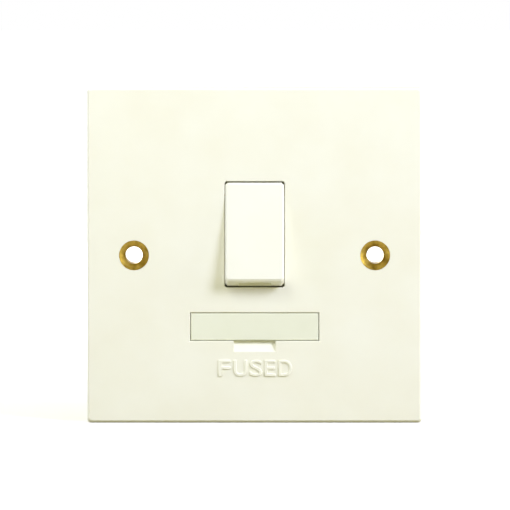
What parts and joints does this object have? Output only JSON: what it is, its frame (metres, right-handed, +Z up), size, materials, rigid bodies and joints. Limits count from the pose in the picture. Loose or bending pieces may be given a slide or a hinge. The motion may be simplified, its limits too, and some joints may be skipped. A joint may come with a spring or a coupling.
{
  "type": "switched fused spur unit",
  "caption": "Moulded square wall plate with a rocker switch, a flush pull-out fuse carrier, brass-lined fixing holes and screw terminals behind it.",
  "frame": {"origin": "half way between the two fixing holes, in the plane of the plate's back rim", "axes": "+X to the right seen from the room, +Y into the wall, +Z up"},
  "size_m": [0.084, 0.029, 0.084],
  "materials": {
    "faceplate": "moulded, satin gloss",
    "rocker": "moulded, gloss",
    "carrier": "moulded, satin gloss",
    "rear_moulding": "moulded, matt",
    "brass": "bright rolled brass",
    "silver": "silver alloy",
    "zinc_steel": "zinc plated",
    "plunger_plastic": "moulded acetal",
    "fuse_ceramic": "fired ceramic",
    "fuse_plating": "nickel plated"
  },
  "bodies": {
    "housing": {"front_plate": "faceplate", "rear_housing": "rear_moulding", "left_eyelet": "brass", "right_eyelet": "brass", "earth_strap": "brass", "live_feed_strap": "brass", "neutral_feed_strap": "brass", "live_pivot_strap": "brass", "neutral_pivot_strap": "brass", "load_live_strap": "brass", "live_feed_terminal": "brass", "neutral_feed_terminal": "brass", "live_load_terminal": "brass", "neutral_load_terminal": "brass", "earth_terminal_left": "brass", "earth_terminal_right": "brass", "terminal_screws": "brass", "fuse_clip_supply": "brass", "fuse_clip_load": "brass", "live_feed_contact": "silver", "neutral_feed_contact": "silver", "housing_screws": "zinc_steel"},
    "rocker": {"rocker": "rocker", "live_plunger_spring": "zinc_steel", "neutral_plunger_spring": "zinc_steel"},
    "live_plunger": {"live_plunger": "plunger_plastic"},
    "neutral_plunger": {"neutral_plunger": "plunger_plastic"},
    "live_contact_arm": {"live_contact_arm": "brass", "live_arm_contact": "silver"},
    "neutral_contact_arm": {"neutral_contact_arm": "brass", "neutral_arm_contact": "silver"},
    "fuse_carrier": {"fuse_carrier": "carrier", "fuse_tube": "fuse_ceramic", "fuse_cap_left": "fuse_plating", "fuse_cap_right": "fuse_plating"}
  },
  "joints": [
    {"name": "rocker_pivot", "type": "hinge", "parent": "housing", "child": "rocker", "pos_m": [0, -0.0067, 0.00525], "axis": [1, 0, 0], "range_deg": [0, 20]},
    {"name": "live_plunger_slide", "type": "slide", "parent": "rocker", "child": "live_plunger", "axis": [0, 0.9848, -0.1736], "range_m": [-0.0008, 0], "stiffness_N_per_m": 600, "deforming": ["live_plunger_spring"]},
    {"name": "live_arm_pivot", "type": "hinge", "parent": "housing", "child": "live_contact_arm", "pos_m": [-0.004, 0.00411, 0.00525], "axis": [1, 0, 0], "range_deg": [-24, 0]},
    {"name": "neutral_plunger_slide", "type": "slide", "parent": "rocker", "child": "neutral_plunger", "axis": [0, 0.9848, -0.1736], "range_m": [-0.0008, 0], "stiffness_N_per_m": 600, "deforming": ["neutral_plunger_spring"]},
    {"name": "neutral_arm_pivot", "type": "hinge", "parent": "housing", "child": "neutral_contact_arm", "pos_m": [0.004, 0.00411, 0.00525], "axis": [1, 0, 0], "range_deg": [-24, 0]},
    {"name": "fuse_carrier_slide", "type": "slide", "parent": "housing", "child": "fuse_carrier", "axis": [0, -1, 0], "range_m": [0, 0.0113]}
  ],
  "couplings": [
    {"joint": "live_arm_pivot", "follows": "rocker_pivot", "ratio": -1.2},
    {"joint": "neutral_arm_pivot", "follows": "rocker_pivot", "ratio": -1.2}
  ]
}
